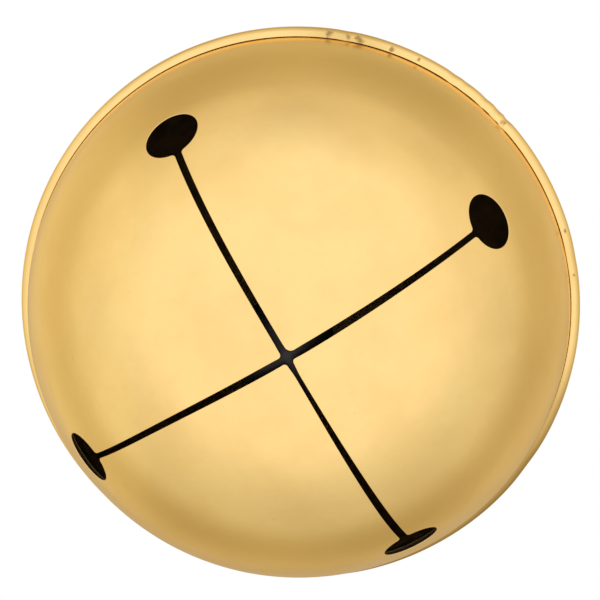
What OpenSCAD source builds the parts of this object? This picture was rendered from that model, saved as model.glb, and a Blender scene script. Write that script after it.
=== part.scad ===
// Two-piece jingle bell: two drawn sheet-metal cups, a split-pin hanger and a loose ball.
// Millimetres, +Z up. The origin is the centre of the hanger's eye; the slots lie along X and Y.

/* [Bell] */
// Diameter over the rolled lip
bell_d = 50; // [46:0.5:56]
// Thickness of the sheet
sheet_t = 0.5; // [0.4:0.05:0.6]
// How far the rolled lip stands out past the upper dome
lip_proud = 0.85; // [0.6:0.05:0.9]
// Gap between the upper skirt and the rim tucked inside it
seam_gap = 0.05; // [0.03:0.01:0.08]
// Straight skirt of the upper cup, above the joint
skirt_h = 2.2; // [2.2:0.1:3]
// Straight part of the lower cup, below the joint
collar_h = 2; // [1:0.1:3]

/* [Sound slots] */
// Width of the two crossed slots
slot_w = 0.65; // [0.4:0.05:1.2]
// Diameter of the round hole at each slot's end
hole_d = 5.1; // [3:0.1:6]
// Angle from the bottom pole to the middle of each hole
hole_angle = 60; // [50:1:62]

/* [Hanger] */
// Inner radius of the eye
eye_r = 3.2; // [3:0.1:4]
// Radius of the half-round wire
wire_r = 1; // [0.9:0.05:1.1]
// Gap between the flat faces of the closed legs
leg_gap = 0.06; // [0.04:0.01:0.1]
// Radial clearance of the closed legs in the crown hole
pin_clearance = 0.06; // [0.05:0.01:0.1]
// Length of each splayed leg past its bend
leg_l = 5; // [3:0.5:5.5]
// Angle through which each leg is bent outwards
leg_bend = 80; // [76:1:84]

/* [Clapper] */
// Diameter of the loose ball
ball_d = 9; // [7:0.5:10]
// Gap between the ball and the shell it rolls on
ball_gap = 0.3; // [0.2:0.05:0.4]

/* [Hidden] */
$fn = 128;

gold = "#d9b35c";
old_gold = "#c9a04c";
steel = "#a9adb2";

cut = 1; // how far a cutting tool runs past what it cuts
spare = 0.02; // overlap that fuses two stretches of one shell

// Radii of the two cups
dome_r = bell_d / 2 - lip_proud;
dome_in_r = dome_r - sheet_t;
low_r = dome_in_r - seam_gap;
low_in_r = low_r - sheet_t;

// Rolled bead of the lip: it fills the step and grips a groove half the sheet deep
groove_depth = sheet_t / 2;
bead_r = (bell_d / 2 - low_r + groove_depth - seam_gap) / 2;
rim_h = 2 * bead_r + 0.3; // how far the lower cup's rim runs up inside the skirt

// Hanger: the wire's flat side follows the eye, then a reverse bend, then the plane between the legs
seat = 0.01; // how far inside the eye's outline the reverse bends start
bury = 5; // degrees by which they run into the eye's ends
leg_r = wire_r - 2 * seat;
neck_r = wire_r + 0.3; // reverse bend that would just touch the eye
neck_in_r = neck_r - seat; // its flat side
neck_angle = asin((neck_in_r + leg_gap / 2) / (eye_r + neck_r));
neck_z = -(eye_r + neck_r) * cos(neck_angle);
crown_gap = 0.19; // from the end of the reverse bend down to the crown
shank_l = crown_gap + sheet_t + 0.05; // straight stretch of the legs, through the crown

// Heights, from the eye's centre down
crown_z = neck_z - crown_gap;
dome_z = crown_z - dome_r;
seam_z = dome_z - skirt_h;
low_z = seam_z - collar_h;
bead_x = bell_d / 2 - bead_r;
groove_r = bead_r + seam_gap;

// Ring-shaped slice between two radii, on the right of the Z axis
module ring_slice(outer, inner) {
    difference() {
        circle(r = outer);
        circle(r = inner);
        translate([-2 * outer, -2 * outer]) square([2 * outer, 4 * outer]);
    }
}

// Rectangle from x0 to x1 and z0 to z1
module span(x0, x1, z0, z1) {
    translate([x0, z0]) square([x1 - x0, z1 - z0]);
}

module upper_shell() {
    color(gold)
    difference() {
        rotate_extrude() {
            translate([0, dome_z]) intersection() {
                ring_slice(dome_r, dome_in_r);
                span(0, bell_d, 0, bell_d);
            }
            span(dome_in_r, dome_r, seam_z + bead_r, dome_z + spare);
            translate([bead_x, seam_z + bead_r]) circle(r = bead_r, $fn = 48);
        }
        translate([0, 0, crown_z - sheet_t - cut])
            cylinder(r = leg_r + leg_gap / 2 + pin_clearance, h = sheet_t + 2 * cut, $fn = 64);
    }
}

// One round hole, drilled square to the surface towards azimuth a
module hole(a) {
    translate([0, 0, low_z]) rotate([0, 180 - hole_angle, a])
        translate([0, 0, low_in_r / 2]) cylinder(d = hole_d, h = low_r, $fn = 64);
}

// One slot from the middle of a hole to the middle of the hole opposite, along X
module slot() {
    reach = low_r * sin(hole_angle);
    translate([-reach, -slot_w / 2, low_z - low_r - cut])
        cube([2 * reach, slot_w, low_r * (1 - cos(hole_angle)) + cut]);
}

module lower_shell() {
    color(old_gold)
    difference() {
        rotate_extrude() difference() {
            union() {
                translate([0, low_z]) intersection() {
                    ring_slice(low_r, low_in_r);
                    span(0, bell_d, -bell_d, 0);
                }
                span(low_in_r, low_r, low_z - spare, seam_z + rim_h);
            }
            translate([bead_x, seam_z + bead_r]) circle(r = groove_r, $fn = 48);
        }
        for (a = [0:90:270]) hole(a);
        slot();
        rotate([0, 0, 90]) slot();
    }
}

// Half-round section of radius r: flat side on x = at, round side towards +X or -X
module wire_section(at, r, side) {
    translate([at, 0]) intersection() {
        circle(r = r, $fn = 64);
        translate([side > 0 ? 0 : -2 * r, -2 * r]) square([2 * r, 4 * r]);
    }
}

// A bend in the XZ plane about the local origin, from angle a0 through angle sweep
module bend(a0, sweep, at, r, side) {
    rotate([90, 0, 0]) rotate([0, 0, a0]) rotate_extrude(angle = sweep) wire_section(at, r, side);
}

// One leg with its reverse bend, which is centred on the local origin
module leg() {
    bend(90 + neck_angle - bury, 90 - neck_angle + bury, neck_in_r, leg_r, -1);
    // straight through the crown
    translate([-neck_in_r, 0, -shank_l]) linear_extrude(shank_l) wire_section(0, leg_r, 1);
    // bent outwards under the crown, and its splayed end
    translate([0, 0, -shank_l]) {
        bend(180, leg_bend, neck_in_r, leg_r, -1);
        rotate([0, 90 - leg_bend, 0]) translate([0, 0, -neck_in_r])
            rotate([90, 0, 90]) linear_extrude(leg_l) rotate([0, 0, 90]) wire_section(0, leg_r, 1);
    }
}

module hanger_loop() {
    color(gold) {
        bend(neck_angle - 90, 360 - 2 * neck_angle, eye_r, wire_r, 1);
        for (side = [0, 1]) mirror([side, 0, 0])
            translate([neck_in_r + leg_gap / 2, 0, neck_z]) leg();
    }
}

module clapper_ball() {
    color(steel)
    translate([0, 0, low_z - (low_in_r - ball_gap - ball_d / 2)]) sphere(d = ball_d);
}

upper_shell();
lower_shell();
hanger_loop();
clapper_ball();
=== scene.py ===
import math

import bpy
import numpy as np
from mathutils import Matrix, Vector


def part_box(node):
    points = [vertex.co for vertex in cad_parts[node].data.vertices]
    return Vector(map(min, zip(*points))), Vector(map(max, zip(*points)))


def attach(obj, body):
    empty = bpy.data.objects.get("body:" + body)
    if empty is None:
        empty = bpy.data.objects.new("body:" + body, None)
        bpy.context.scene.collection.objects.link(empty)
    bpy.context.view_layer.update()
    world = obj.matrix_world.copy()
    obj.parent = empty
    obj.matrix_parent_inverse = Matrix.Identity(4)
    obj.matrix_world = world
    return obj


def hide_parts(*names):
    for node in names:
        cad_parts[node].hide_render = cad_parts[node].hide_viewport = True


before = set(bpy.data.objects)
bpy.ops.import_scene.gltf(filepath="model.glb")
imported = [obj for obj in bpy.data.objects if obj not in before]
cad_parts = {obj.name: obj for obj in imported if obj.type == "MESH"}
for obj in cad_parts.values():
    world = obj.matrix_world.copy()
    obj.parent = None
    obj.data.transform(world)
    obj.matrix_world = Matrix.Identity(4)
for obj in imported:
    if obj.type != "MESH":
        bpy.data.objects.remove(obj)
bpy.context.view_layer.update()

# ---------------------------------------------------------------- sizes, in millimetres
MM = 0.001
upper_lo, upper_hi = (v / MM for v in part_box("upper_shell"))
lower_lo, lower_hi = (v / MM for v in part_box("lower_shell"))
ball_lo, ball_hi = (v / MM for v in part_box("clapper_ball"))
eye_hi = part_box("hanger_loop")[1] / MM

SHEET = 0.5  # thickness of both cups
SLOT_W = 0.65
HOLE_R = 2.55
HOLE_ANGLE = math.radians(60)  # from the bottom pole to each hole's middle
SEAM_GAP = 0.05
WIRE_R = 1.0  # half-round wire of the eye
LEG_GAP = 0.06
LEG_BEND = math.radians(80)
LEG_L = 5.0

LIP_R = upper_hi.x
CROWN_Z = upper_hi.z
SEAM_Z = upper_lo.z
LOW_R = lower_hi.x
LOW_IN_R = LOW_R - SHEET
LOW_Z = lower_lo.z + LOW_R  # centre of the lower cup's half sphere
RIM_Z = lower_hi.z
DOME_IN_R = LOW_R + SEAM_GAP
DOME_R = DOME_IN_R + SHEET
DOME_Z = CROWN_Z - DOME_R  # centre of the upper cup's half sphere
BEAD_R = (LIP_R - LOW_R + SHEET / 2 - SEAM_GAP) / 2  # rolled bead that sits in the lower cup's groove
BEAD_Z = SEAM_Z + BEAD_R
FLARE = 0.58  # how far the lower cup flares out where it meets the lip
FLARE_RUN = 9.0  # and over what height

PUNCH_EDGE = 0.04  # rounding that the punch leaves on the outside
BREAKOUT = (0.08, 0.75)  # how far the punched wall leans back under the sheet, along slots and round holes
EDGE_IN = 0.05  # sharper edge on the inside
TIP_R = (0.28, 0.3, 0.34, 0.62)  # rounded corner of each petal at the cross
HORN_R = 0.42  # rounded corners where a slot meets its hole
FACE_ROWS = 11  # rows of a punched edge that belong to the plated outside
BAND_ROWS = 30  # rows from the holes to the half sphere's rim
CORNER_ROWS = 5  # rows round each corner of the rim


# ---------------------------------------------------------------- mesh helpers
class Shell:
    """Vertices with their own normals, and faces, gathered from grids."""

    def __init__(self):
        self.co, self.no, self.faces, self.mats, self.count = [], [], [], [], 0

    def grid(self, co, no, material=0, closed=False):
        """co and no are (rows, columns, 3); faces look along no."""
        rows, cols = co.shape[:2]
        index = self.count + np.arange(rows * cols).reshape(rows, cols)
        self.co.append(co.reshape(-1, 3))
        self.no.append(no.reshape(-1, 3))
        self.count += rows * cols
        if closed:
            index = np.hstack([index, index[:, :1]])
        a, b = index[:-1, :-1], index[:-1, 1:]
        c, d = index[1:, 1:], index[1:, :-1]
        quads = np.stack([a, b, c, d], -1).reshape(-1, 4)
        self.faces.append(quads)
        self.mats.append(np.full(len(quads), material))

    def build(self, name, warp=None):
        co, no = np.vstack(self.co), np.vstack(self.no)
        faces, mats = np.vstack(self.faces), np.concatenate(self.mats)
        # points that lie on each other become one
        _, first, back = np.unique(np.round(co / 2e-5).astype(np.int64), axis=0, return_index=True, return_inverse=True)
        back = back.reshape(-1)
        total = np.zeros((len(first), 3))
        np.add.at(total, back, no)
        co, no, faces = co[first], total, back[faces]
        no /= np.maximum(np.linalg.norm(no, axis=1), 1e-12)[:, None]
        # every face is wound so that it looks along its normals
        across = np.cross(co[faces[:, 2]] - co[faces[:, 0]], co[faces[:, 3]] - co[faces[:, 1]])
        wrong = (across * no[faces].sum(1)).sum(1) < 0
        faces[wrong] = faces[wrong][:, ::-1]
        if warp is not None:
            co, no = warped(warp, co, no)
        polys, kept = [], []
        for poly, m in zip(faces.tolist(), mats.tolist()):
            p = [v for i, v in enumerate(poly) if v != poly[i - 1]]
            if len(set(p)) == len(p) and len(p) > 2:
                polys.append(p)
                kept.append(m)
        mesh = bpy.data.meshes.new(name)
        mesh.from_pydata((co * MM).tolist(), [], polys)
        mesh.polygons.foreach_set("material_index", kept)
        mesh.polygons.foreach_set("use_smooth", [True] * len(polys))
        mesh.update()
        mesh.normals_split_custom_set_from_vertices(no.tolist())
        obj = bpy.data.objects.new(name, mesh)
        bpy.context.scene.collection.objects.link(obj)
        return obj


def warped(warp, co, no):
    """Moves points by warp and turns their normals to suit."""
    h = 1e-3
    cols = []
    for axis in np.eye(3):
        cols.append((warp(co + h * axis) - warp(co - h * axis)) / (2 * h))
    jac = np.stack(cols, -1)
    no = np.linalg.solve(np.swapaxes(jac, 1, 2), no[..., None])[..., 0]
    return warp(co), no / np.linalg.norm(no, axis=1)[:, None]


def unit(v):
    return v / np.maximum(np.linalg.norm(v, axis=-1), 1e-12)[..., None]


def smooth(x):
    x = np.clip(x, 0, 1)
    return x * x * (3 - 2 * x)


def arc(x, z, r, a0, a1, n):
    """Points and outward normals of an arc in the radius-height plane."""
    a = np.linspace(a0, a1, n)
    no = np.stack([np.cos(a), np.sin(a)], -1)
    return np.array([x, z]) + r * no, no


def line(p0, p1, normal, n):
    t = np.linspace(0, 1, n)[:, None]
    return np.array(p0) * (1 - t) + np.array(p1) * t, np.tile(normal, (n, 1))


def turned(profile, normals, angles):
    """Grid made by turning a radius-height profile through the angles."""
    c, s = np.cos(angles), np.sin(angles)

    def spin(p):
        return np.stack([p[:, :1] * c, p[:, :1] * s, np.repeat(p[:, 1:], len(angles), 1)], -1)

    return spin(profile), spin(normals)


def bezier(points, n):
    t = np.linspace(0, 1, n)[:, None]
    p = [np.array(q) for q in points]
    path = (1 - t) ** 3 * p[0] + 3 * t * (1 - t) ** 2 * p[1] + 3 * t * t * (1 - t) * p[2] + t**3 * p[3]
    return [tuple(q) for q in path]


def profile_normals(points):
    """Normals of a radius-height profile that runs down the outside and turns in."""
    step = np.gradient(points, axis=0)
    n = np.stack([-step[:, 1], step[:, 0]], -1)
    return n / np.linalg.norm(n, axis=1)[:, None]


# ---------------------------------------------------------------- how far the real pressing is from perfect
# Slot edges: (azimuth, how much wider than nominal near the cross, and near the hole)
SLOT_SPREAD = [(0, 0.08, -0.1), (90, -0.26, 0.1), (180, 0.06, -0.14), (270, -0.06, 0.02)]
# Slips of the punched pattern: the cross in x and y, then each hole away from the pole and sideways
CROSS_SLIP = (0.56, 0.18)
CROSS_REACH = 14.0
HOLE_SLIPS = [(0, -0.35, 0.0), (90, 3.3, 0.6), (180, 2.0, -0.95), (270, -0.2, 0.0)]
HOLE_REACH = 10.0
# Petals that stand a little low: (azimuth of the petal's middle, drop at its tip)
PETAL_DROP = [(135, 0.11), (45, 0.03), (225, 0.02), (315, 0.0)]


def press_warp(p):
    """Slots of uneven width, a cross a little off the pole, and petals that aren't quite level."""
    q = p - np.array([0, 0, LOW_Z])
    length = np.maximum(np.linalg.norm(q, axis=1), 1e-9)
    d = q / length[:, None]
    polar = np.arccos(np.clip(-d[:, 2], -1, 1))
    moved = q.copy()
    for azimuth, wide_in, wide_out in SLOT_SPREAD:
        a = math.radians(azimuth)
        along = q[:, 0] * math.cos(a) + q[:, 1] * math.sin(a)
        side = -q[:, 0] * math.sin(a) + q[:, 1] * math.cos(a)
        t = smooth(along / (LOW_R * math.sin(HOLE_ANGLE)))
        extra = (wide_in * (1 - t) + wide_out * t) / 2 * smooth(along / 2.0)
        fade = smooth((LOW_R * 0.97 - along) / 3.0) * np.exp(-((side / 3.0) ** 2)) * (q[:, 2] < 0)
        push = extra * fade * np.tanh(side / 0.15)
        moved[:, 0] -= push * math.sin(a)
        moved[:, 1] += push * math.cos(a)
    above_seam = smooth((math.pi / 2 - polar) / 0.32)
    gap = np.linalg.norm(d - np.array([0, 0, -1]), axis=1) * LOW_R
    share = np.exp(-((gap / CROSS_REACH) ** 2)) * above_seam
    moved[:, 0] += CROSS_SLIP[0] * share
    moved[:, 1] += CROSS_SLIP[1] * share
    for azimuth, outwards, sideways in HOLE_SLIPS:
        a = math.radians(azimuth)
        s, c = math.sin(HOLE_ANGLE), math.cos(HOLE_ANGLE)
        at = np.array([s * math.cos(a), s * math.sin(a), -c])
        away = np.array([c * math.cos(a), c * math.sin(a), s])
        beside = np.array([-math.sin(a), math.cos(a), 0])
        gap = np.linalg.norm(d - at, axis=1) * LOW_R
        share = np.exp(-((gap / HOLE_REACH) ** 2)) * above_seam
        moved += share[:, None] * (away * outwards + beside * sideways)
    moved = unit(moved) * length[:, None]
    around = np.arctan2(q[:, 1], q[:, 0])
    drop = np.zeros(len(p))
    for azimuth, depth in PETAL_DROP:
        off = np.arctan2(np.sin(around - math.radians(azimuth)), np.cos(around - math.radians(azimuth)))
        inside = smooth((math.pi / 4 - np.abs(off)) / 0.02 + 0.5)
        drop += depth * inside * smooth((HOLE_ANGLE - polar) / HOLE_ANGLE)
    moved *= (1 - drop / np.maximum(length, 1e-9))[:, None]
    up = p[:, 2]
    flare = FLARE * smooth((up - (LOW_Z - FLARE_RUN)) / (SEAM_Z - LOW_Z + FLARE_RUN))
    flare *= smooth(SEAM_Z + 1.3 - up)  # back in under the lip
    wide = np.maximum(np.hypot(moved[:, 0], moved[:, 1]), 1e-9)
    moved[:, :2] *= (1 + flare / wide * (wide > 5))[:, None]
    return moved + np.array([0, 0, LOW_Z])


# Small dents along the lip: (azimuth, depth, half width)
LIP_DENTS = [
    (-26, 0.07, 0.5),
    (-23, 0.05, 0.3),
    (-18, 0.08, 0.4),
    (-14.5, 0.12, 0.3),
    (-12, 0.14, 0.35),
    (-50, 0.05, 0.5),
    (20, 0.04, 1.2),
    (66, 0.06, 1.5),
    (112, 0.04, 1.0),
]


def lip_warp(p):
    """The rolled lip was pressed home by hand: it wanders by a few hundredths, always inwards."""
    around = np.arctan2(p[:, 1], p[:, 0])
    near = smooth(1 - np.abs(p[:, 2] - BEAD_Z) / 2.2)
    wander = 0.5 + 0.22 * np.sin(3 * around + 0.4) + 0.16 * np.sin(7 * around + 2.1) + 0.12 * np.sin(17 * around)
    inwards = 0.03 * near * wander
    dent = np.zeros(len(p))
    for azimuth, deep, wide in LIP_DENTS:
        off = np.arctan2(np.sin(around - math.radians(azimuth)), np.cos(around - math.radians(azimuth)))
        dent += deep * np.exp(-((off * LIP_R / wide) ** 2)) * smooth(1 - np.abs(p[:, 2] - BEAD_Z + 0.2) / 1.3)
    out = p.copy()
    r = np.maximum(np.hypot(p[:, 0], p[:, 1]), 1e-9)
    scale = 1 - (inwards + dent) / r * (r > 5)
    out[:, 0] *= scale
    out[:, 1] *= scale
    return out


# ---------------------------------------------------------------- lower cup
def sphere_point(polar, azimuth, r):
    s = np.sin(polar)
    return np.stack([s * np.cos(azimuth), s * np.sin(azimuth), -np.cos(polar)], -1) * np.asarray(r)[..., None]


def petal_edge(tip_r):
    """Edge of one petal beside the slot along +X, from the tip to the far side of the hole.
    Returns unit directions of the edge, unit tangents that point into the petal, and how far the
    wall leans back under the sheet."""
    half = SLOT_W / 2
    R = LOW_R
    axis = np.array([math.sin(HOLE_ANGLE), 0, -math.cos(HOLE_ANGLE)])
    east = np.array([0.0, 1.0, 0.0])
    south = np.cross(east, axis)  # towards the pole or away, set below
    if south[2] > 0:
        south = -south  # towards the bottom pole
    pts, ins = [], []

    def add(p, inward):
        d = p / np.linalg.norm(p)
        inward = inward - d * np.dot(inward, d)
        pts.append(d)
        ins.append(inward / np.linalg.norm(inward))

    # rounded tip, from its middle to the slot's edge
    cx = half + tip_r
    for a in np.linspace(math.radians(225), math.radians(270), 9):
        x, y = cx + tip_r * math.cos(a), cx + tip_r * math.sin(a)
        z = -math.sqrt(R * R - x * x - y * y)
        add(np.array([x, y, z]), np.array([-math.cos(a), -math.sin(a), 0.0]))
    # rounded horn, where the slot meets the hole: centre is HORN_R inside both edges
    horn_y = half + HORN_R
    ring = (HOLE_R + HORN_R) / R
    up = math.sqrt(max(math.sin(ring) ** 2 - (horn_y / R) ** 2, 0))
    horn = axis * math.cos(ring) + east * (horn_y / R) + south * up
    horn_x = horn[0] * R
    # straight slot edge
    for x in np.linspace(cx, horn_x, 62)[1:-1]:
        z = -math.sqrt(R * R - x * x - half * half)
        add(np.array([x, half, z]), np.array([0.0, 1.0, 0.0]))
    # the horn's arc, from facing the slot to facing the hole's middle
    h = horn / np.linalg.norm(horn)
    to_slot = -east - h * np.dot(-east, h)
    to_slot /= np.linalg.norm(to_slot)
    to_hole = axis - h * np.dot(axis, h)
    to_hole /= np.linalg.norm(to_hole)
    sweep = math.acos(max(-1.0, min(1.0, float(np.dot(to_slot, to_hole)))))
    side = to_hole - to_slot * np.dot(to_hole, to_slot)
    side /= np.linalg.norm(side)
    for a in np.linspace(0, sweep, 9):
        out = to_slot * math.cos(a) + side * math.sin(a)
        add(h * math.cos(HORN_R / R) + out * math.sin(HORN_R / R), -out)
    # round the hole, from the horn to its far side
    start = math.atan2(np.dot(h, east), np.dot(h, south))
    ring = HOLE_R / R
    for a in np.linspace(start, math.pi, 46)[1:]:
        out = south * math.cos(a) + east * math.sin(a)
        add(axis * math.cos(ring) + out * math.sin(ring), out)
    pts = np.array(pts)
    nearness = smooth((HOLE_R + 2.2 - np.arccos(np.clip(pts @ axis, -1, 1)) * R) / 2.0)
    lean = BREAKOUT[0] + (BREAKOUT[1] - BREAKOUT[0]) * nearness
    return pts, np.array(ins), lean[:, None]


def petal_rings(edge, inward, lean, r, thickness):
    """Rows of points across the punched edge: outer rounding, leaning wall, inner rounding."""

    def at(along, down):
        a = along / r
        return (edge * np.cos(a) + inward * np.sin(a)) * (r - down)

    steps = []
    for a in np.linspace(math.pi / 2, 0, FACE_ROWS):  # outer rounding, from the face to the wall
        n = edge * math.sin(a) - inward * math.cos(a)
        steps.append((at(PUNCH_EDGE * (1 - math.cos(a)), PUNCH_EDGE * (1 - math.sin(a))), n))
    wall = thickness - PUNCH_EDGE - EDGE_IN
    facing = unit(-inward - edge * lean / wall)
    for t in (0.0, 0.33, 0.66):
        steps.append((at(lean * t, PUNCH_EDGE + t * wall), facing))
    for a in np.linspace(0, math.pi / 2, 4):  # inner rounding
        n = -edge * math.sin(a) - inward * math.cos(a)
        steps.append((at(lean + EDGE_IN * (1 - math.cos(a)), thickness - EDGE_IN + EDGE_IN * math.sin(a)), n))
    return steps


def mirrored(v):
    """The same across the petal's middle, which is the plane x = y."""
    return v[..., [1, 0, 2]]


def spread(n):
    """Column positions from 0 to 1, closer together near both ends."""
    t = np.linspace(0, 1, n)
    return 0.5 - 0.5 * np.cos(math.pi * t) * (0.55 + 0.45 * np.abs(np.cos(math.pi * t)))


def face_between(a, b, r, cols):
    """Rows on a sphere of radius r from directions a to b at the same polar angle."""
    polar = np.arccos(np.clip(-unit(a)[:, 2], -1, 1))
    az_a = np.arctan2(a[:, 1], a[:, 0])
    az_b = np.arctan2(b[:, 1], b[:, 0])
    t = spread(cols)
    az = az_a[:, None] * (1 - t) + az_b[:, None] * t
    co = sphere_point(np.repeat(polar[:, None], cols, 1), az, np.full(az.shape, r))
    return co, unit(co)


def lower_cup():
    cup = Shell()
    cols = 57
    petals = []
    for tip_r in TIP_R:
        steps = petal_rings(*petal_edge(tip_r), LOW_R, SHEET)
        outer_a, inner_a = steps[0][0], steps[-1][0]
        outer = face_between(outer_a, mirrored(outer_a), LOW_R, cols)
        inner = face_between(inner_a, mirrored(inner_a), LOW_IN_R, cols)
        petals.append((steps, outer, inner))

    # beyond the holes: sphere rows to the half sphere's rim, then the collar and tucked rim
    last = math.acos(-unit(outer_a)[-1, 2])
    polar = np.linspace(last, math.pi / 2, BAND_ROWS)
    profile = [np.stack([LOW_R * np.sin(polar), -LOW_R * np.cos(polar)], -1)]
    normal = [np.stack([np.sin(polar), -np.cos(polar)], -1)]

    def extend(piece):
        profile.append(piece[0])
        normal.append(piece[1])

    # collar and rim; press_warp flares them out to the lip and back in under it
    rim, seam = RIM_Z - LOW_Z, SEAM_Z - LOW_Z
    heights = (*np.linspace(0.05, seam + 0.3, 18), *np.linspace(seam + 0.4, seam + 1.4, 11), rim - 0.1)
    collar = [(LOW_R, z) for z in heights]
    extend((np.array(collar), -profile_normals(np.array(collar))))
    extend(arc(LOW_R - 0.1, rim - 0.1, 0.1, 0, math.pi / 2, CORNER_ROWS))
    extend(arc(LOW_IN_R + 0.1, rim - 0.1, 0.1, math.pi / 2, math.pi, CORNER_ROWS))
    extend(line([LOW_IN_R, rim - 0.15], [LOW_IN_R, 0.02], [-1, 0], 8))
    last_in = math.acos(-unit(inner_a)[-1, 2])
    polar = np.linspace(math.pi / 2, last_in, 26)
    profile.append(np.stack([LOW_IN_R * np.sin(polar), -LOW_IN_R * np.cos(polar)], -1))
    normal.append(np.stack([-np.sin(polar), np.cos(polar)], -1))
    profile, normal = np.vstack(profile), np.vstack(normal)
    split = BAND_ROWS + len(collar) + CORNER_ROWS

    band, band_n = turned(profile, normal, spread(cols) * math.pi / 2)
    lift = np.array([0, 0, LOW_Z])
    for k in range(4):
        c, s = math.cos(k * math.pi / 2), math.sin(k * math.pi / 2)
        turn = np.array([[c, s, 0], [-s, c, 0], [0, 0, 1]])
        steps, (outer, outer_n), (inner, inner_n) = petals[k]
        cup.grid(outer @ turn + lift, outer_n @ turn, 0)
        cup.grid(inner @ turn + lift, -inner_n @ turn, 1)
        for flip in (False, True):
            co = np.stack([st[0] for st in steps], 1)
            no = np.stack([st[1] for st in steps], 1)
            if flip:
                co, no = mirrored(co), mirrored(no)
            cup.grid(co[:, :FACE_ROWS] @ turn + lift, no[:, :FACE_ROWS] @ turn, 0)
            cup.grid(co[:, FACE_ROWS:] @ turn + lift, no[:, FACE_ROWS:] @ turn, 1)
        cup.grid(band[:split] @ turn + lift, band_n[:split] @ turn, 0)
        cup.grid(band[split - 1 :] @ turn + lift, band_n[split - 1 :] @ turn, 1)
    return cup.build("bell_lower_cup", press_warp)


# ---------------------------------------------------------------- upper cup
def upper_cup():
    cup = Shell()
    bore = WIRE_R - 0.02 + LEG_GAP / 2 + 0.06
    first = math.asin((bore + 0.12) / DOME_R)
    polar = np.linspace(first, math.pi / 2, 90)
    top = DOME_Z
    outer = [np.stack([DOME_R * np.sin(polar), top + DOME_R * np.cos(polar)], -1)]
    outer_n = [np.stack([np.sin(polar), np.cos(polar)], -1)]
    # lip: out from the skirt, over the widest place, then turned in over the lower cup to a thin edge
    edge_x = LOW_R + FLARE + 0.03
    bulge = LIP_R - DOME_R
    lean = BEAD_R * 2
    curve = bezier(
        [
            (DOME_R, SEAM_Z + lean + 0.35),
            (DOME_R, SEAM_Z + lean),
            (LIP_R, SEAM_Z + lean - bulge * 0.2),
            (LIP_R, SEAM_Z + BEAD_R * 1.25),
        ],
        16,
    ) + bezier(
        [
            (LIP_R, SEAM_Z + BEAD_R * 1.25),
            (LIP_R, SEAM_Z + BEAD_R * 0.85),
            (LIP_R - 0.12, SEAM_Z + BEAD_R * 0.4),
            (edge_x + 0.13, SEAM_Z + 0.07),
        ],
        22,
    )[1:] + bezier(
        [
            (edge_x + 0.13, SEAM_Z + 0.07),
            (edge_x + 0.07, SEAM_Z + 0.0),
            (edge_x, SEAM_Z + 0.0),
            (edge_x, SEAM_Z + 0.14),
        ],
        9,
    )[1:] + [(edge_x, SEAM_Z + 0.25)]
    outer.append(np.array([(DOME_R, z) for z in np.linspace(top - 0.03, SEAM_Z + lean + 0.36, 4)] + curve))
    outer_n.append(profile_normals(outer[-1]))
    outer, outer_n = np.vstack(outer), np.vstack(outer_n)
    inner, inner_n = [outer[-1:]], [np.array([[-1.0, 0.0]])]
    polar = np.linspace(math.pi / 2, math.asin((bore + 0.05) / DOME_IN_R), 60)
    for piece in (
        line([DOME_IN_R, SEAM_Z + 1.3], [DOME_IN_R, top - 0.05], [-1, 0], 5),
        (
            np.stack([DOME_IN_R * np.sin(polar), top + DOME_IN_R * np.cos(polar)], -1),
            -np.stack([np.sin(polar), np.cos(polar)], -1),
        ),
        arc(bore + 0.05, CROWN_Z - SHEET + 0.03, 0.05, -math.pi / 2, -math.pi, 4),
    ):
        inner.append(piece[0])
        inner_n.append(piece[1])
    inner, inner_n = np.vstack(inner), np.vstack(inner_n)
    lip, lip_n = arc(bore + 0.12, CROWN_Z - 0.15, 0.12, math.pi, math.pi / 2, 6)
    lip, lip_n = np.vstack([inner[-1:], lip, outer[:1]]), np.vstack([inner_n[-1:], lip_n, outer_n[:1]])
    around = np.linspace(0, 2 * math.pi, 385)[:-1]
    for profile, normals, material in ((outer, outer_n, 0), (inner, inner_n, 1), (lip, lip_n, 0)):
        co, no = turned(profile, unit(normals), around)
        cup.grid(co, no, material, closed=True)
    return cup.build("bell_upper_cup", lip_warp)


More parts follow.
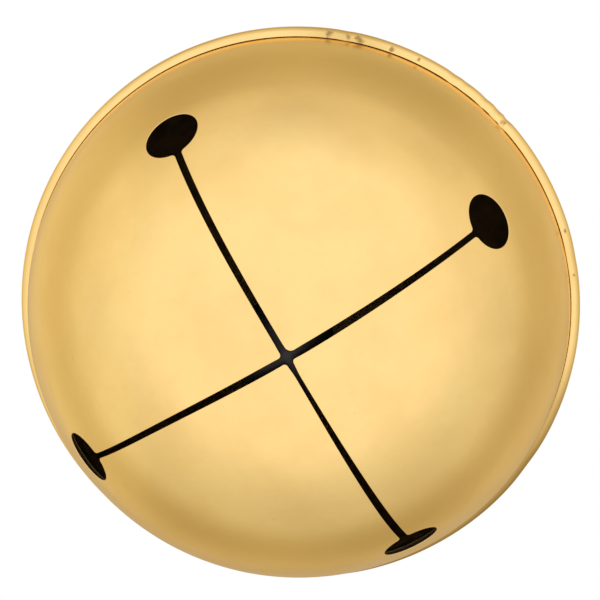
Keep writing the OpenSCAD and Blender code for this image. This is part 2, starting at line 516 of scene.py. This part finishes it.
# ---------------------------------------------------------------- hanging eye
def hanger():
    """Half-round wire swept along its flat side: leg, reverse bend, eye, reverse bend, leg."""
    eye_r = eye_hi.z - WIRE_R
    neck = WIRE_R + 0.29
    neck_a = math.asin((neck + LEG_GAP / 2) / (eye_r + neck + 0.01))
    neck_z = -(eye_r + neck + 0.01) * math.cos(neck_a)
    shank = 0.19 + SHEET + 0.05
    leg_r = WIRE_R - 0.02
    x0 = neck + LEG_GAP / 2
    path, out, size = [], [], []  # point on the flat side, direction to the round side, section radius

    def put(x, z, ox, oz, r):
        path.append((x, z))
        out.append((ox, oz))
        size.append(r)

    for a in np.linspace(math.pi / 2, neck_a, 60)[:-1]:  # from the eye's top, down its right side
        t = a
        put(eye_r * math.cos(t), eye_r * math.sin(t), math.cos(t), math.sin(t), WIRE_R)
    low = neck_a - math.pi / 2
    for t in np.linspace(neck_a, low, 60):
        put(eye_r * math.cos(t), eye_r * math.sin(t), math.cos(t), math.sin(t), WIRE_R)
    for t in np.linspace(math.pi / 2 + neck_a, math.pi, 16)[1:]:  # reverse bend
        put(x0 + neck * math.cos(t), neck_z + neck * math.sin(t), -math.cos(t), -math.sin(t), leg_r)
    for z in np.linspace(0, -shank, 6)[1:]:
        put(x0 - neck, neck_z + z, 1, 0, leg_r)
    for t in np.linspace(math.pi, math.pi + LEG_BEND, 18)[1:]:
        put(x0 + neck * math.cos(t), neck_z - shank + neck * math.sin(t), -math.cos(t), -math.sin(t), leg_r)
    end = math.pi + LEG_BEND
    ax, az = -math.sin(end), math.cos(end)
    px, pz = path[-1]
    for s in np.linspace(0, LEG_L, 22)[1:]:
        left = LEG_L - s
        blunt = 0.5 if left <= 0 else min(1.0, 0.8 + 0.2 * math.sqrt(min(1.0, left / 0.35)))
        put(px + ax * s, pz + az * s, -math.cos(end), -math.sin(end), leg_r * blunt)
    path, out, size = np.array(path), np.array(out), np.array(size)
    # the other half is its mirror image
    path = np.vstack([(path * [-1, 1])[:0:-1], path])
    out = np.vstack([(out * [-1, 1])[:0:-1], out])
    size = np.concatenate([size[:0:-1], size])

    corner = 0.16
    u, v, nu, nv = [], [], [], []
    for y in np.linspace(-(1 - corner * 1.6), 1 - corner * 1.6, 7):  # flat side
        u.append(0.0), v.append(y), nu.append(-1.0), nv.append(0.0)
    for a in np.linspace(0, math.pi, 31):  # round side, eased into the flat at both ends
        ease = smooth(min(a, math.pi - a) / 0.22)
        uu, vv = math.sin(a), math.cos(a)
        uu = uu * (0.55 + 0.45 * ease) + (1 - ease) * corner * 0.35
        k = 1 - (1 - ease) * corner * 0.35
        n = (math.sin(a) * ease - (1 - ease) * 0.55, vv)
        m = math.hypot(*n)
        u.append(uu), v.append(vv * k), nu.append(n[0] / m), nv.append(n[1] / m)
    u, v, nu, nv = map(np.array, (u, v, nu, nv))
    rows = len(path)
    co = np.zeros((rows, len(u), 3))
    no = np.zeros_like(co)
    for i in range(rows):
        o3 = np.array([out[i, 0], 0, out[i, 1]])
        co[i] = np.array([path[i, 0], 0, path[i, 1]]) + size[i] * (u[:, None] * o3 + v[:, None] * np.array([0, 1, 0]))
        no[i] = nu[:, None] * o3 + nv[:, None] * np.array([0, 1, 0])
    wire = Shell()
    wire.grid(co, no, 0, closed=True)
    for i, sign in ((0, -1), (rows - 1, 1)):  # blunt ends
        step = path[i] - path[i - sign]
        axis = unit(np.array([step[0], 0, step[1]]))
        middle = co[i].mean(0)
        rings = [co[i] * (1 - k) + middle * k + axis * 0.02 * k for k in (0, 0.25, 0.6, 0.98)]
        wire.grid(np.array(rings), np.broadcast_to(axis, (4,) + co[i].shape).copy(), 0, closed=True)
    return wire.build("bell_hanging_eye")


# ---------------------------------------------------------------- clapper ball
def clapper():
    """A tumbled steel ball: nearly round, with small flats where it has been striking the shell."""
    r = (ball_hi.x - ball_lo.x) / 2
    centre = np.array((ball_lo + ball_hi) / 2)
    rows, cols = 96, 128
    polar = np.linspace(0, math.pi, rows)
    around = np.linspace(0, 2 * math.pi, cols + 1)[:-1]
    d = np.stack(
        [
            np.sin(polar)[:, None] * np.cos(around),
            np.sin(polar)[:, None] * np.sin(around),
            np.repeat(np.cos(polar)[:, None], cols, 1),
        ],
        -1,
    )
    ball = Shell()
    ball.grid(d * r, d, 0, closed=True)
    golden = math.pi * (3 - math.sqrt(5))
    spots = []
    for k in range(46):
        z = 1 - 2 * (k + 0.5) / 46
        a = k * golden
        s = math.sqrt(1 - z * z)
        spots.append((np.array([s * math.cos(a), s * math.sin(a), z]), 0.012 + 0.02 * ((k * 7) % 5) / 5))

    def warp(p):
        rr = np.linalg.norm(p, axis=1)
        n = p / rr[:, None]
        cut = 0.02 * (1 + np.sin(5 * n[:, 0] + 2) * np.sin(6 * n[:, 1]) * np.cos(4 * n[:, 2])) / 2
        for at, deep in spots:
            cut = cut + deep * np.exp(-(((1 - n @ at) / 0.012) ** 2))
        return n * (rr - cut)[:, None] + centre

    return ball.build("bell_clapper_ball", warp)


# ---------------------------------------------------------------- materials
def new_material(name):
    m = bpy.data.materials.new(name)
    m.use_nodes = True
    m.node_tree.nodes.clear()
    return m, m.node_tree.nodes, m.node_tree.links


def node(nodes, kind, **values):
    n = nodes.new(kind)
    for key, value in values.items():
        if hasattr(n, key):
            setattr(n, key, value)
        else:
            n.inputs[key.replace("_", " ")].default_value = value
    return n


def metal(
    name, bright, deep, rough, grain, scratch, spots=(), stain=0.0, grime=0.0, painted_shades=(), scuffs=(),
    edge=(1.0, 0.92, 0.75), metallic=1.0, seam_dirt_and_shade=0.0,
):
    """Satin metal: two tones in soft clouds, fine grain, scratches in two directions, dull stains, and optional painted
    shade: soft dark patches, and a darker band under the seam that is painted shade and seam dirt.
    """
    m, nodes, links = new_material(name)
    out = node(nodes, "ShaderNodeOutputMaterial")
    bsdf = node(nodes, "ShaderNodeBsdfPrincipled", Metallic=metallic)
    bsdf.inputs["Specular Tint"].default_value = (*edge, 1)
    links.new(bsdf.outputs[0], out.inputs[0])
    coord = node(nodes, "ShaderNodeTexCoord")

    def noise(scale, detail=2.0, roughness=0.5, vector=None, distortion=0.0):
        n = node(nodes, "ShaderNodeTexNoise", Scale=scale, Detail=detail, Roughness=roughness, Distortion=distortion)
        links.new(vector or coord.outputs["Object"], n.inputs["Vector"])
        return n.outputs["Fac"]

    def stretched(rotation, scale):
        mp = node(nodes, "ShaderNodeMapping")
        mp.inputs["Rotation"].default_value = rotation
        mp.inputs["Scale"].default_value = scale
        links.new(coord.outputs["Object"], mp.inputs["Vector"])
        return mp.outputs["Vector"]

    def remap(value, lo, hi, to_lo=0.0, to_hi=1.0):
        r = node(nodes, "ShaderNodeMapRange")
        r.interpolation_type = "SMOOTHSTEP"
        r.inputs["From Min"].default_value = lo
        r.inputs["From Max"].default_value = hi
        r.inputs["To Min"].default_value = to_lo
        r.inputs["To Max"].default_value = to_hi
        links.new(value, r.inputs["Value"])
        return r.outputs["Result"]

    def math_node(op, a, b=None):
        n = node(nodes, "ShaderNodeMath")
        n.operation = op
        for i, x in enumerate((a, b)):
            if x is None:
                continue
            if isinstance(x, (int, float)):
                n.inputs[i].default_value = x
            else:
                links.new(x, n.inputs[i])
        return n.outputs[0]

    def mix(fac, a, b):
        n = node(nodes, "ShaderNodeMix")
        n.data_type = "RGBA"
        if isinstance(fac, (int, float)):
            n.inputs["Factor"].default_value = fac
        else:
            links.new(fac, n.inputs["Factor"])
        for i, x in ((6, a), (7, b)):
            if isinstance(x, tuple):
                n.inputs[i].default_value = (*x, 1)
            else:
                links.new(x, n.inputs[i])
        return n.outputs[2]

    clouds = remap(noise(140, 3, 0.55), 0.35, 0.68)
    mottle = remap(noise(1500, 3, 0.6), 0.4, 0.72)
    colour = mix(clouds, bright, deep)
    darker = tuple(c * f for c, f in zip(deep, (0.9, 0.86, 0.76)))
    colour = mix(math_node("MULTIPLY", mottle, 0.1), colour, darker)

    # hairline scratches: long thin noise, kept only where it peaks
    lines = []
    for rotation, scale in (
        ((0.3, 0.2, 0.6), (60, 9000, 60)),
        ((1.2, -0.5, 2.2), (9000, 80, 80)),
        ((0.1, 0.9, 1.4), (110, 110, 12000)),
    ):
        lines.append(remap(noise(1.0, 1, 0.4, stretched(rotation, scale)), 0.74, 0.9))
    scratches = math_node("MAXIMUM", math_node("MAXIMUM", lines[0], lines[1]), lines[2])
    patches = remap(noise(260, 2, 0.5), 0.5, 0.8, 0.0, 0.18)

    def near(x, y, z, radius, inner=0.35):
        """1 at a point in the row frame, in millimetres, and 0 at radius from it."""
        d = node(nodes, "ShaderNodeVectorMath")
        d.operation = "DISTANCE"
        links.new(coord.outputs["Object"], d.inputs[0])
        d.inputs[1].default_value = (x * MM, y * MM, z * MM)
        return remap(d.outputs["Value"], radius * MM * inner, radius * MM, 1.0, 0.0)

    for place_and_size in scuffs:
        patches = math_node("MAXIMUM", patches, math_node("MULTIPLY", near(*place_and_size), 2.6))
    scratches = math_node("MULTIPLY", scratches, patches)

    # small dull spots at set places, in the row frame
    marks = None
    for x, y, z, radius in spots:
        d = node(nodes, "ShaderNodeVectorMath")
        d.operation = "DISTANCE"
        links.new(coord.outputs["Object"], d.inputs[0])
        d.inputs[1].default_value = (x * MM, y * MM, z * MM)
        ragged = math_node("ADD", d.outputs["Value"], math_node("MULTIPLY", noise(2200, 3, 0.65), radius * MM * 3.0))
        spot = remap(ragged, radius * MM * 1.5, radius * MM * 2.6, 1.0, 0.0)
        marks = spot if marks is None else math_node("MAXIMUM", marks, spot)
    speckle = remap(noise(900, 4, 0.6), 0.70, 0.76)
    specks = math_node("MULTIPLY", speckle, 0.55 * stain)
    if marks is not None:
        specks = math_node("MAXIMUM", specks, math_node("MULTIPLY", marks, 0.75))
    # painted shade: soft dark patches mixed into the colour where the surface lies in shadow
    for x, y, z, radius, amount in painted_shades:
        painted_shade = math_node("MULTIPLY", near(x, y, z, radius, 0.2), amount)
        colour = mix(painted_shade, colour, tuple(c * f for c, f in zip(deep, (0.5, 0.45, 0.32))))
    # darker band just under the seam: painted shade under the overhanging lip, and dirt along the seam
    if seam_dirt_and_shade:
        split = node(nodes, "ShaderNodeSeparateXYZ")
        links.new(coord.outputs["Object"], split.inputs[0])
        band = remap(split.outputs["Z"], (SEAM_Z - 0.9) * MM, (SEAM_Z - 0.1) * MM, 0.0, seam_dirt_and_shade)
        band = math_node("MULTIPLY", band, remap(noise(330, 3, 0.6), 0.3, 0.6, 0.45, 1.0))
        colour = mix(band, colour, tuple(c * f for c, f in zip(deep, (0.42, 0.36, 0.25))))
    tarnish = tuple(c * f for c, f in zip(deep, (0.32, 0.26, 0.2)))
    colour = mix(specks, colour, tarnish)
    if grime:
        soot = remap(noise(420, 4, 0.6), 0.3, 0.7)
        colour = mix(math_node("MULTIPLY", soot, grime), colour, tuple(c * 0.25 for c in deep))
    links.new(colour, bsdf.inputs["Base Color"])

    r = math_node("ADD", math_node("MULTIPLY", clouds, 0.05), rough)
    r = math_node("ADD", r, math_node("MULTIPLY", scratches, 0.16))
    r = math_node("ADD", r, math_node("MULTIPLY", specks, 0.3))
    links.new(r, bsdf.inputs["Roughness"])

    fine = noise(9000, 2, 0.6)
    coarse = noise(2600, 2, 0.5)
    height = math_node("ADD", math_node("MULTIPLY", fine, 1.0), math_node("MULTIPLY", coarse, 0.8))
    bump = node(nodes, "ShaderNodeBump")
    bump.inputs["Strength"].default_value = 1.0
    bump.inputs["Distance"].default_value = grain
    links.new(height, bump.inputs["Height"])
    cut = node(nodes, "ShaderNodeBump")
    cut.invert = True
    cut.inputs["Strength"].default_value = 1.0
    cut.inputs["Distance"].default_value = scratch
    links.new(scratches, cut.inputs["Height"])
    links.new(bump.outputs[0], cut.inputs["Normal"])
    links.new(cut.outputs[0], bsdf.inputs["Normal"])
    return m


def at_lip(azimuth, up, r=LIP_R):
    """A point on the lip: azimuth in degrees, height over the seam."""
    a = math.radians(azimuth)
    return (r * math.cos(a), r * math.sin(a), SEAM_Z + up)


GOLD_BRIGHT = (0.97, 0.68, 0.245)
GOLD_DEEP = (0.94, 0.645, 0.225)
SPOT_UP, SPOT_IN, SCUFF_AND_PAINTED_SHADE_UP = 0.25, 0.4, 0.4  # where the lip's blemishes, patches of painted shade and scuffs sit
LIP_SPOTS = [
    (-53.5, 0.42), (-49.5, 0.34), (-47, 0.46), (-40, 0.36), (-34, 0.24), (-12, 0.34), (14, 0.2), (23.5, 0.22),
]  # (azimuth, radius)
LIP_PAINTED_SHADES = [(58, 8, 0.7), (72, 9, 0.95), (90, 9, 0.8), (110, 10, 0.7), (-50, 7, 0.3)]  # and amount: soft dark patches of painted shade on the lip's lower side
LIP_SCUFFS = [(-24, 3), (-14, 4), (4, 4), (25, 5)]
CUP_SPOTS = [(-8, 3.0, 0.14), (31.5, 0.8, 0.2), (13.6, 1.6, 0.14), (-34, 2.5, 0.16)]  # (azimuth, depth, radius)
CUP_SCUFFS = [(5, 5, 5), (-14, 2.5, 3), (28, 3, 4)]
lip_spots = [(*at_lip(a, SPOT_UP, LIP_R - SPOT_IN), size) for a, size in LIP_SPOTS]
lip_painted_shades = [(*at_lip(a, SCUFF_AND_PAINTED_SHADE_UP), radius, amount) for a, radius, amount in LIP_PAINTED_SHADES]
lip_scuffs = [(*at_lip(a, SCUFF_AND_PAINTED_SHADE_UP), radius) for a, radius in LIP_SCUFFS]
cup_spots = [(*at_lip(a, -down, LOW_R), size) for a, down, size in CUP_SPOTS]
cup_scuffs = [(*at_lip(a, -down, LOW_R - 0.02 * down * down), radius) for a, down, radius in CUP_SCUFFS]

ROUGH, GRAIN, SCRATCH = 0.22, 1.2e-6, 6e-7  # the plated cups' roughness, and two bump heights in metres
# the upper cup's colour carries the lip's patches of painted shade
upper_gold = metal(
    "satin_gold_upper", GOLD_BRIGHT, GOLD_DEEP, ROUGH, GRAIN, SCRATCH, lip_spots, 0.35, 0.0, lip_painted_shades, lip_scuffs
)
# the lower cup's colour carries a band of painted shade and seam dirt under the lip
lower_gold = metal(
    "satin_gold_lower", GOLD_BRIGHT, GOLD_DEEP, ROUGH, GRAIN, SCRATCH, cup_spots, 0.25, 0.0, (), cup_scuffs,
    seam_dirt_and_shade=0.8,
)
inside_gold = metal(
    "unpolished_inside", (0.5, 0.34, 0.15), (0.34, 0.22, 0.09), 0.45, 4e-6, 1e-6, (), 0.5, 0.4, metallic=0.45
)
wire_gold = metal("satin_gold_wire", GOLD_BRIGHT, GOLD_DEEP, 0.22, 1.5e-6, 2e-6, (), 0.2)
ball_steel = metal(
    "dark_tumbled_steel", (0.05, 0.046, 0.042), (0.025, 0.023, 0.021), 0.5, 5e-6, 3e-6, (), 0.6, edge=(1, 1, 1)
)


# ---------------------------------------------------------------- pieces
def place(obj, body, cad_node, slot, *materials):
    for m in materials:
        obj.data.materials.append(m)
    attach(obj, body)
    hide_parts(cad_node)


place(lower_cup(), "shell", "lower_shell", "lower_gold", lower_gold, inside_gold)
place(upper_cup(), "shell", "upper_shell", "upper_gold", upper_gold, inside_gold)
place(hanger(), "loop", "hanger_loop", "hanger_gold", wire_gold)
place(clapper(), "clapper", "clapper_ball", "ball_steel", ball_steel)


# ---------------------------------------------------------------- floor, light and camera
def stage_floor():
    """A wide pale floor, well below the hanging bell."""
    m, nodes, links = new_material("pale_floor")
    out = node(nodes, "ShaderNodeOutputMaterial")
    bsdf = node(nodes, "ShaderNodeBsdfPrincipled", Roughness=0.9)
    n = node(nodes, "ShaderNodeTexNoise", Scale=6.0, Detail=3.0)
    ramp = node(nodes, "ShaderNodeValToRGB")
    ramp.color_ramp.elements[0].color = (0.82, 0.82, 0.82, 1)
    ramp.color_ramp.elements[1].color = (0.88, 0.88, 0.88, 1)
    links.new(n.outputs["Fac"], ramp.inputs["Fac"])
    links.new(ramp.outputs["Color"], bsdf.inputs["Base Color"])
    links.new(bsdf.outputs[0], out.inputs[0])
    mesh = bpy.data.meshes.new("floor")
    sides, radii, verts, faces = 96, (0.6, 2.0, 6.0), [(0, 0, 0)], []
    for r in radii:
        for k in range(sides):
            a = 2 * math.pi * k / sides
            verts.append((r * math.cos(a), r * math.sin(a), 0))
    for k in range(sides):
        j = (k + 1) % sides
        faces.append((0, 1 + k, 1 + j))
        for ring in range(len(radii) - 1):
            b = 1 + ring * sides
            faces.append((b + k, b + sides + k, b + sides + j, b + j))
    mesh.from_pydata(verts, [], faces)
    mesh.materials.append(m)
    floor = bpy.data.objects.new("floor", mesh)
    floor.location.z = -1.3
    floor.visible_glossy = False
    floor.visible_diffuse = False
    bpy.context.scene.collection.objects.link(floor)


stage_floor()

# The camera's own axes in the row frame: it looks up at the slotted end, a little off the bell's axis
BACK = Vector((0.1469, -0.12484, -0.98124)).normalized()
UP = Vector((0.48839, -0.85349, 0.18171))
UP = (UP - BACK * UP.dot(BACK)).normalized()
RIGHT = UP.cross(BACK)
DISTANCE = 0.625
camera = bpy.data.objects.new("camera", bpy.data.cameras.new("camera"))
bpy.context.scene.collection.objects.link(camera)
camera.matrix_world = Matrix(
    (
        (*[RIGHT[0], UP[0], BACK[0]], BACK[0] * DISTANCE),
        (*[RIGHT[1], UP[1], BACK[1]], BACK[1] * DISTANCE),
        (*[RIGHT[2], UP[2], BACK[2]], BACK[2] * DISTANCE + SEAM_Z * MM),
        (0, 0, 0, 1),
    )
)
camera.data.sensor_width = 36
camera.data.lens = 420.6
camera.data.shift_x = 0.0009
camera.data.shift_y = 0.0093
camera.data.clip_start = 0.01
bpy.context.scene.camera = camera

# Soft light from all round, as caps of light with soft edges.
# (turn round the view axis from the right, angle off the camera's side, half width, strength), in degrees
CAPS = [
    (0, 0, 114, (0.24, 0.28, 0.39)),
    (0, 0, 90, (0.18, 0.18, 0.19)),
    (0, 0, 74, (0.24, 0.23, 0.3)),
    (0, 25, 70, (0.01, 0.04, 0.08)),
    (90, 25, 90, (0.05, 0.02, 0.0)),
    (135, 25, 70, (0.02, 0.06, 0.1)),
    (0, 120, 40, (0.1, 0.09, 0.08)),
    (45, 120, 40, (0.11, 0.1, 0.06)),
    (135, 120, 40, (0.12, 0.1, 0.05)),
    (180, 120, 40, (0.2, 0.2, 0.18)),
    (225, 120, 40, (0.09, 0.08, 0.04)),
    (315, 120, 40, (0.06, 0.055, 0.04)),
    (0, 180, 38, (0.12, 0.11, 0.08)),
]
CAP_EDGE = 10  # how far each cap's edge spreads to either side
AMBIENT = (0.43, 0.375, 0.28)


def soft_world():
    world = bpy.data.worlds.new("soft_studio")
    bpy.context.scene.world = world
    world.use_nodes = True
    nodes, links = world.node_tree.nodes, world.node_tree.links
    nodes.clear()
    out = node(nodes, "ShaderNodeOutputWorld")
    coord = node(nodes, "ShaderNodeTexCoord")
    total = None
    for turn, off, width, strength in CAPS:
        t, o = math.radians(turn), math.radians(off)
        d = RIGHT * math.sin(o) * math.cos(t) + UP * math.sin(o) * math.sin(t) + BACK * math.cos(o)
        dot = node(nodes, "ShaderNodeVectorMath")
        dot.operation = "DOT_PRODUCT"
        links.new(coord.outputs["Generated"], dot.inputs[0])
        dot.inputs[1].default_value = d.normalized()
        cap = node(nodes, "ShaderNodeMapRange")
        cap.interpolation_type = "SMOOTHSTEP"
        cap.inputs["From Min"].default_value = math.cos(math.radians(width + CAP_EDGE))
        cap.inputs["From Max"].default_value = math.cos(math.radians(width - CAP_EDGE))
        links.new(dot.outputs["Value"], cap.inputs["Value"])
        scaled = node(nodes, "ShaderNodeVectorMath")
        scaled.operation = "SCALE"
        scaled.inputs[0].default_value = strength
        links.new(cap.outputs["Result"], scaled.inputs["Scale"])
        if total is None:
            total = node(nodes, "ShaderNodeVectorMath")
            total.operation = "ADD"
            total.inputs[0].default_value = AMBIENT
            links.new(scaled.outputs[0], total.inputs[1])
        else:
            s = node(nodes, "ShaderNodeVectorMath")
            s.operation = "ADD"
            links.new(total.outputs[0], s.inputs[0])
            links.new(scaled.outputs[0], s.inputs[1])
            total = s
    light = node(nodes, "ShaderNodeBackground")
    links.new(total.outputs[0], light.inputs["Color"])
    seen = node(nodes, "ShaderNodeBackground", Color=(1.0, 1.0, 1.0, 1))
    path = node(nodes, "ShaderNodeLightPath")
    mixer = node(nodes, "ShaderNodeMixShader")
    links.new(path.outputs["Is Camera Ray"], mixer.inputs[0])
    links.new(light.outputs[0], mixer.inputs[1])
    links.new(seen.outputs[0], mixer.inputs[2])
    links.new(mixer.outputs[0], out.inputs[0])


soft_world()
bpy.context.scene.view_settings.view_transform = "Standard"
